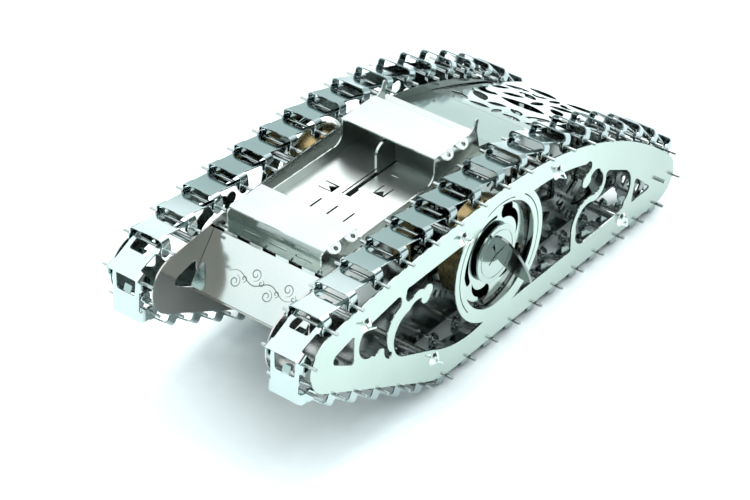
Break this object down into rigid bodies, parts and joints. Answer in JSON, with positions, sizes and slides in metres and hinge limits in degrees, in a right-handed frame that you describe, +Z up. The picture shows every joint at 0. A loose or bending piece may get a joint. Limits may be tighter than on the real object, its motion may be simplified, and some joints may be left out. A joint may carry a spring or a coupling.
{
  "type": "tracked tank chassis",
  "caption": "Rhomboid clockwork tank chassis in folded polished steel, with linked tracks, side frames, open tub, winding keys and an on/off slide.",
  "frame": {"origin": "middle of the length and width, on the ground under the track links", "axes": "+X towards the raised nose, +Y to the vehicle's left, +Z up"},
  "size_m": [0.186, 0.092, 0.0648],
  "materials": {
    "polished_steel": "mirror polished stainless sheet",
    "steel_wire": "drawn steel wire and turned rod",
    "spring_steel": "blued spring strip",
    "brass": "polished brass"
  },
  "bodies": {
    "root": {"belly_plate": "polished_steel", "deck_step": "polished_steel", "front_strips": "polished_steel", "front_top_plate": "polished_steel", "left_gear_studs": "steel_wire", "left_inner_panel": "polished_steel", "left_outer_panel": "polished_steel", "left_tie_rods": "steel_wire", "left_track_ground_links": "polished_steel", "left_track_links": "polished_steel", "left_track_pins": "steel_wire", "left_tub_wall": "polished_steel", "left_twist_tabs": "polished_steel", "left_wheel_sleeve": "polished_steel", "middle_top_plate": "polished_steel", "nose_plate": "polished_steel", "rear_deck": "polished_steel", "rear_plate": "polished_steel", "right_gear_studs": "steel_wire", "right_inner_panel": "polished_steel", "right_outer_panel": "polished_steel", "right_tie_rods": "steel_wire", "right_track_ground_links": "polished_steel", "right_track_links": "polished_steel", "right_track_pins": "steel_wire", "right_tub_wall": "polished_steel", "right_twist_tabs": "polished_steel", "right_wheel_sleeve": "polished_steel", "scroll_deck": "polished_steel", "tub_floor": "polished_steel"},
    "left_barrel": {"left_spring_barrel": "brass", "left_barrel_wheel": "polished_steel", "left_barrel_cover": "polished_steel", "left_mainspring": "spring_steel"},
    "left_winder": {"left_barrel_arbor": "steel_wire", "left_key_disc": "polished_steel", "left_winding_key": "polished_steel", "left_ratchet_wheel": "polished_steel"},
    "left_click": {"left_ratchet_click": "polished_steel"},
    "left_gear_a_wheel": {"left_gear_a": "polished_steel"},
    "left_gear_b_wheel": {"left_gear_b": "polished_steel"},
    "left_drive": {"left_drive_sprocket": "polished_steel", "left_drive_gear": "polished_steel", "left_drive_axle": "steel_wire"},
    "right_barrel": {"right_spring_barrel": "brass", "right_barrel_wheel": "polished_steel", "right_barrel_cover": "polished_steel", "right_mainspring": "spring_steel"},
    "right_winder": {"right_barrel_arbor": "steel_wire", "right_key_disc": "polished_steel", "right_winding_key": "polished_steel", "right_ratchet_wheel": "polished_steel"},
    "right_click": {"right_ratchet_click": "polished_steel"},
    "right_gear_a_wheel": {"right_gear_a": "polished_steel"},
    "right_gear_b_wheel": {"right_gear_b": "polished_steel"},
    "right_drive": {"right_drive_sprocket": "polished_steel", "right_drive_gear": "polished_steel", "right_drive_axle": "steel_wire"},
    "switch": {"on_off_lever": "polished_steel", "brake_slide": "polished_steel"}
  },
  "joints": [
    {"name": "left_barrel_turn", "type": "hinge", "parent": "root", "child": "left_barrel", "pos_m": [0.00509, 0.0286, 0.03339], "axis": [0, 1, 0], "continuous": true, "deforming": ["left_mainspring"]},
    {"name": "left_key_turn", "type": "hinge", "parent": "root", "child": "left_winder", "pos_m": [0.00509, 0.0286, 0.03339], "axis": [0, 1, 0], "continuous": true},
    {"name": "left_gear_a_turn", "type": "hinge", "parent": "root", "child": "left_gear_a_wheel", "pos_m": [-0.02912, 0.0286, 0.02388], "axis": [0, 1, 0], "continuous": true},
    {"name": "left_gear_b_turn", "type": "hinge", "parent": "root", "child": "left_gear_b_wheel", "pos_m": [-0.06047, 0.0286, 0.0209], "axis": [0, 1, 0], "continuous": true},
    {"name": "left_drive_turn", "type": "hinge", "parent": "root", "child": "left_drive", "pos_m": [-0.0807, 0.0286, 0.01359], "axis": [0, 1, 0], "continuous": true, "deforming": ["left_track_ground_links", "left_track_links", "left_track_pins"]},
    {"name": "left_click_lift", "type": "hinge", "parent": "root", "child": "left_click", "pos_m": [0.01155, 0.0286, 0.04166], "axis": [0, 1, 0], "range_deg": [0, 14]},
    {"name": "right_barrel_turn", "type": "hinge", "parent": "root", "child": "right_barrel", "pos_m": [0.00509, -0.0286, 0.03339], "axis": [0, 1, 0], "continuous": true, "deforming": ["right_mainspring"]},
    {"name": "right_key_turn", "type": "hinge", "parent": "root", "child": "right_winder", "pos_m": [0.00509, -0.0286, 0.03339], "axis": [0, 1, 0], "continuous": true},
    {"name": "right_gear_a_turn", "type": "hinge", "parent": "root", "child": "right_gear_a_wheel", "pos_m": [-0.02912, -0.0286, 0.02388], "axis": [0, 1, 0], "continuous": true},
    {"name": "right_gear_b_turn", "type": "hinge", "parent": "root", "child": "right_gear_b_wheel", "pos_m": [-0.06047, -0.0286, 0.0209], "axis": [0, 1, 0], "continuous": true},
    {"name": "right_drive_turn", "type": "hinge", "parent": "root", "child": "right_drive", "pos_m": [-0.0807, -0.0286, 0.01359], "axis": [0, 1, 0], "continuous": true, "deforming": ["right_track_ground_links", "right_track_links", "right_track_pins"]},
    {"name": "right_click_lift", "type": "hinge", "parent": "root", "child": "right_click", "pos_m": [0.01155, -0.0286, 0.04166], "axis": [0, 1, 0], "range_deg": [0, 14]},
    {"name": "switch_slide", "type": "slide", "parent": "root", "child": "switch", "axis": [1, 0, 0], "range_m": [0, 0.014]}
  ],
  "couplings": [
    {"joint": "left_gear_a_turn", "follows": "left_barrel_turn", "ratio": -1.0286},
    {"joint": "left_gear_b_turn", "follows": "left_barrel_turn", "ratio": 1.2857},
    {"joint": "left_drive_turn", "follows": "left_barrel_turn", "ratio": -2.4},
    {"joint": "right_gear_a_turn", "follows": "right_barrel_turn", "ratio": -1.0286},
    {"joint": "right_gear_b_turn", "follows": "right_barrel_turn", "ratio": 1.2857},
    {"joint": "right_drive_turn", "follows": "right_barrel_turn", "ratio": -2.4}
  ]
}
